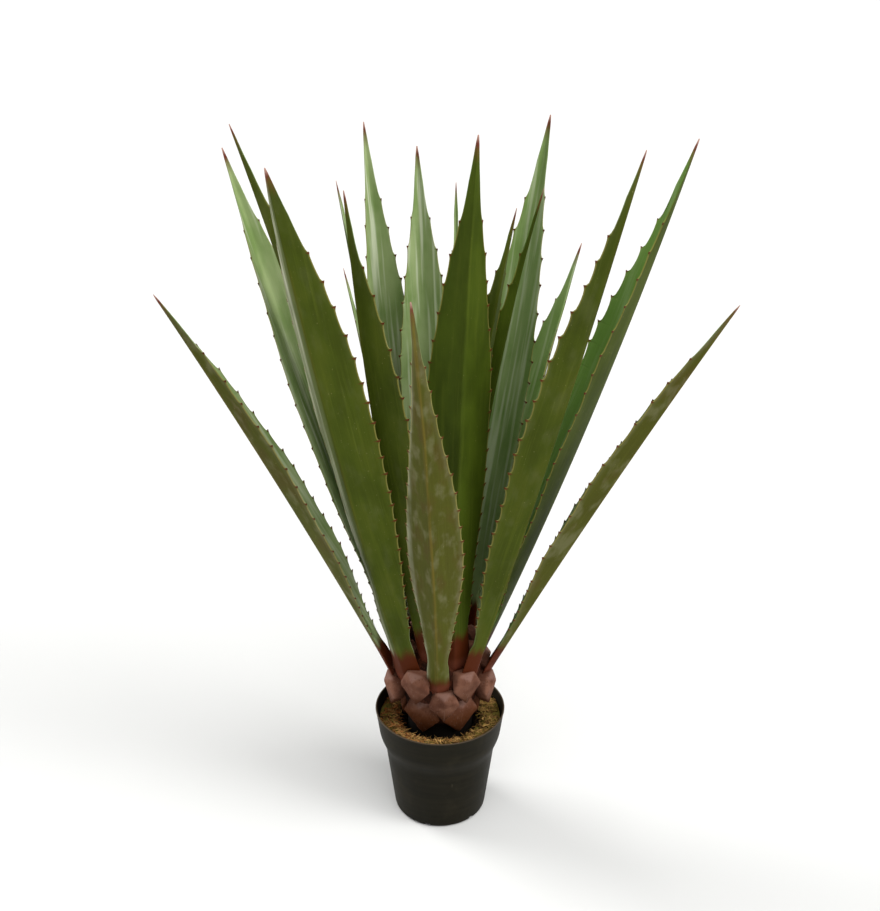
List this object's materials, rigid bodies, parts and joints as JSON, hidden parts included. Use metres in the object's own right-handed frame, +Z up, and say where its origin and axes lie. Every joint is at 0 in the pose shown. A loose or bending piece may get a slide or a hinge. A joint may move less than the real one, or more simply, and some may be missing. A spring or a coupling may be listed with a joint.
{
  "type": "potted agave",
  "caption": "Agave with stiff toothed leaves in a rosette on a short trunk of cut leaf stubs, rooted in a round plastic nursery pot with soil and fibre mulch.",
  "frame": {"origin": "middle of the pot's flat underside", "axes": "+Z up the plant from the surface it stands on to the leaf tips; the side that the picture shows looks along -Y; +X to the right of it"},
  "size_m": [0.5751, 0.4213, 0.822],
  "materials": {
    "pot_plastic": "moulded, near-black warm grey, matt with a soft sheen",
    "soil": "dark, damp, crumbly",
    "mulch": "shredded golden-brown fibre, matt",
    "trunk": "dry cut leaf stubs, mauve-brown with pale cuts",
    "leaf": "tough waxy skin, olive green outside, grey-green inside, red-brown base, teeth and tip"
  },
  "bodies": {
    "root": {"pot": "pot_plastic", "soil": "soil", "mulch": "mulch", "trunk": "trunk", "leaf_low_1": "leaf", "leaf_low_2": "leaf", "leaf_low_3": "leaf", "leaf_low_4": "leaf", "leaf_low_5": "leaf", "leaf_low_6": "leaf", "leaf_low_7": "leaf", "leaf_low_8": "leaf", "leaf_low_9": "leaf", "leaf_low_10": "leaf", "leaf_tall_1": "leaf", "leaf_tall_2": "leaf", "leaf_tall_3": "leaf", "leaf_tall_4": "leaf", "leaf_tall_5": "leaf", "leaf_tall_6": "leaf", "leaf_tall_7": "leaf", "leaf_heart_1": "leaf", "leaf_heart_2": "leaf", "leaf_heart_3": "leaf", "leaf_heart_4": "leaf"}
  },
  "joints": []
}
